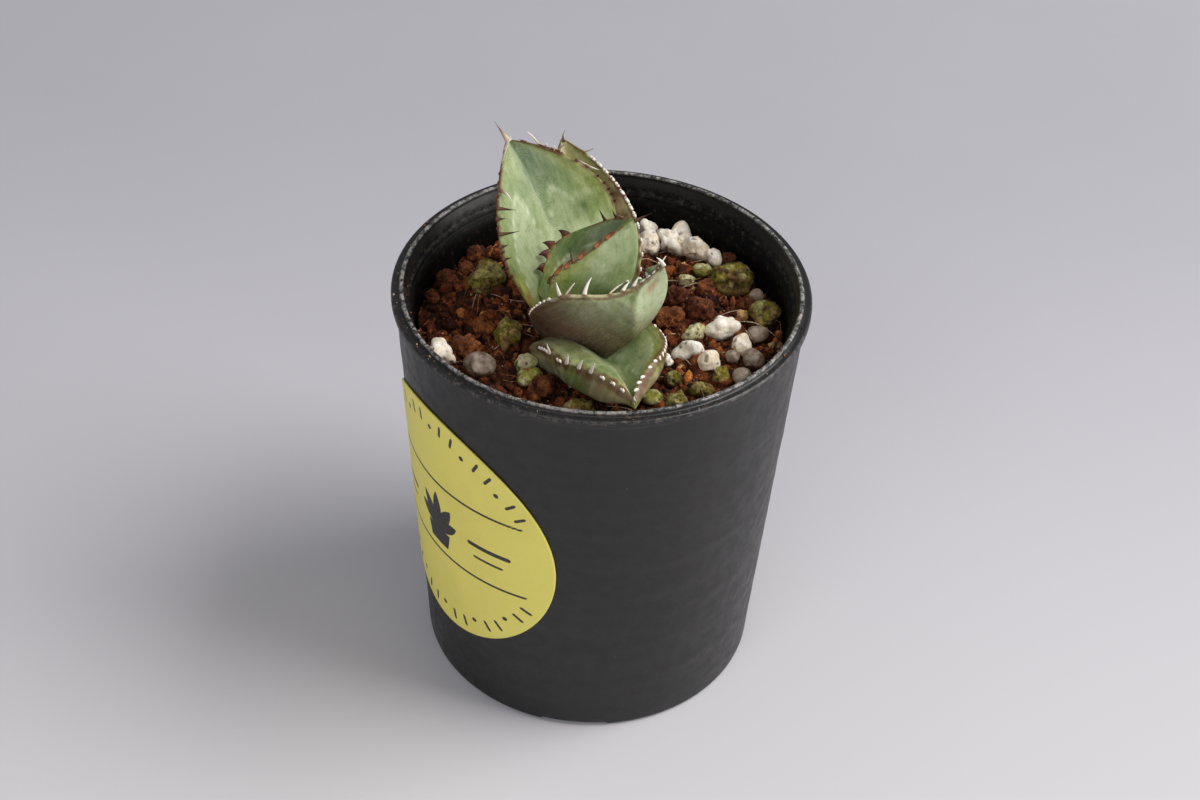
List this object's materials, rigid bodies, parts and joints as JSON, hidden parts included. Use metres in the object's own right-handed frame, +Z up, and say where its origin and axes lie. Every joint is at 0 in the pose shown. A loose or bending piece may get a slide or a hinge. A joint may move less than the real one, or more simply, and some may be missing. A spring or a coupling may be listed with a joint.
{
  "type": "potted agave",
  "caption": "Small spiny agave seedling in a round black plastic nursery pot with soil, mineral grains and a round wall label.",
  "frame": {"origin": "centre of the pot's foot, on the surface that the pot stands on", "axes": "+Z up along the pot's axis, -Y towards the front"},
  "size_m": [0.075, 0.075, 0.1064],
  "materials": {
    "pot": "satin black moulded polypropylene",
    "label": "matte printed paper",
    "soil": "loose dark brown granular soil",
    "stem": "dull plant stem",
    "leaf": "waxy satin leaf with a pale bloom",
    "pumice": "rough porous white stone",
    "akadama": "rough fired clay",
    "zeolite": "rough pale green stone",
    "river_stone": "smooth speckled stone",
    "mossy_stone": "rough stone with moss"
  },
  "bodies": {
    "root": {"akadama_01": "akadama", "akadama_02": "akadama", "akadama_03": "akadama", "akadama_04": "akadama", "akadama_05": "akadama", "akadama_06": "akadama", "akadama_07": "akadama", "akadama_08": "akadama", "akadama_09": "akadama", "akadama_10": "akadama", "akadama_11": "akadama", "akadama_12": "akadama", "akadama_13": "akadama", "akadama_14": "akadama", "akadama_15": "akadama", "akadama_16": "akadama", "label": "label", "leaf_back_left": "leaf", "leaf_back_right": "leaf", "leaf_centre": "leaf", "leaf_front_low": "leaf", "leaf_front_right": "leaf", "mossy_stone_01": "mossy_stone", "mossy_stone_02": "mossy_stone", "mossy_stone_03": "mossy_stone", "mossy_stone_04": "mossy_stone", "mossy_stone_05": "mossy_stone", "mossy_stone_06": "mossy_stone", "mossy_stone_07": "mossy_stone", "mossy_stone_08": "mossy_stone", "mossy_stone_09": "mossy_stone", "pot": "pot", "pumice_01": "pumice", "pumice_02": "pumice", "pumice_03": "pumice", "pumice_04": "pumice", "pumice_05": "pumice", "pumice_06": "pumice", "pumice_07": "pumice", "pumice_08": "pumice", "pumice_09": "pumice", "pumice_10": "pumice", "pumice_11": "pumice", "river_stone_01": "river_stone", "river_stone_02": "river_stone", "river_stone_03": "river_stone", "river_stone_04": "river_stone", "river_stone_05": "river_stone", "river_stone_06": "river_stone", "soil": "soil", "stem": "stem", "zeolite_01": "zeolite", "zeolite_02": "zeolite", "zeolite_03": "zeolite", "zeolite_04": "zeolite", "zeolite_05": "zeolite", "zeolite_06": "zeolite"}
  },
  "joints": []
}
